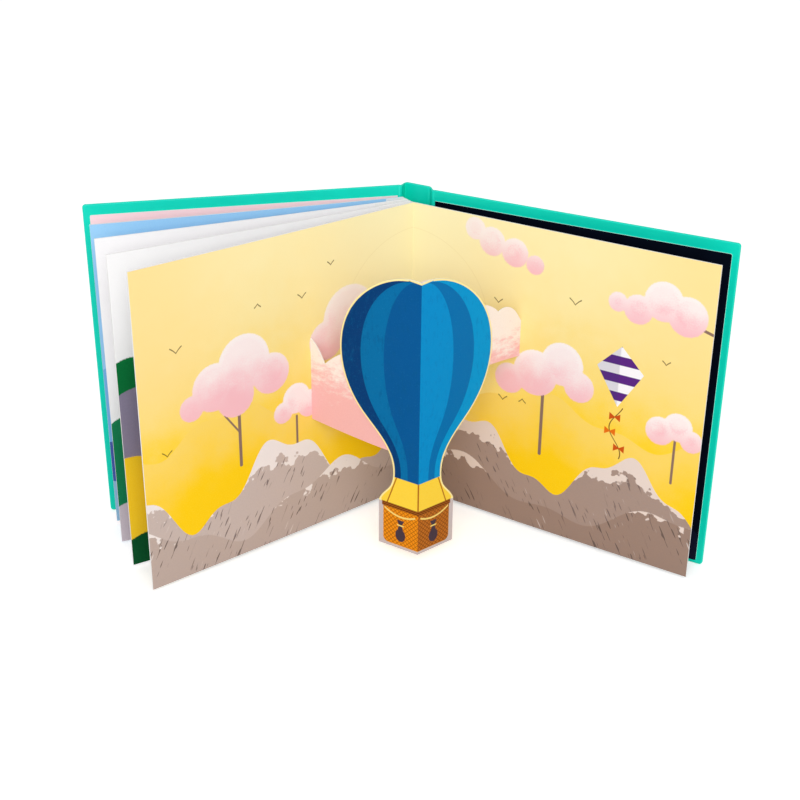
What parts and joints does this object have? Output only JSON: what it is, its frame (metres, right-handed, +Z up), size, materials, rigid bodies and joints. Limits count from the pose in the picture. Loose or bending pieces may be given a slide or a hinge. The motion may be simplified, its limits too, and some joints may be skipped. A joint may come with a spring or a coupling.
{
  "type": "pop-up picture book",
  "caption": "Hard-cover pop-up picture book standing open, with fanned card leaves, a folded balloon pop-up in the gutter and covers that swing on their joints.",
  "frame": {"origin": "middle of the spine board's foot, on the surface the book stands on", "axes": "+Z up along the spine; the open side of the book faces -Y; +X is to the right when looking into the open pages"},
  "size_m": [0.3802, 0.1557, 0.209],
  "materials": {
    "cover_wrap": "teal printed paper, satin laminate",
    "endpaper_pink": "pale pink printed card, matt",
    "endpaper_dark": "near-black printed card, matt",
    "page_card": "printed card, matt coated, white cut edges",
    "popup_card": "printed die-cut card, matt coated",
    "balloon_card": "blue printed die-cut card, satin coated"
  },
  "bodies": {
    "book_block": {"spine": "cover_wrap", "front_joint": "cover_wrap", "back_joint": "cover_wrap", "pages": "page_card", "popup_strip": "popup_card", "popup_balloon": "balloon_card"},
    "front_cover": {"front_cover": "cover_wrap", "front_pastedown": "endpaper_pink"},
    "back_cover": {"back_cover": "cover_wrap", "back_pastedown": "endpaper_dark"}
  },
  "joints": [
    {"name": "front_cover_hinge", "type": "hinge", "parent": "book_block", "child": "front_cover", "pos_m": [-0.01069, -0.0013, 0.1045], "axis": [0, 0, 1], "range_deg": [-45, 4]},
    {"name": "back_cover_hinge", "type": "hinge", "parent": "book_block", "child": "back_cover", "pos_m": [0.0093, -0.01194, 0.1045], "axis": [0, 0, 1], "range_deg": [-4, 40]}
  ]
}
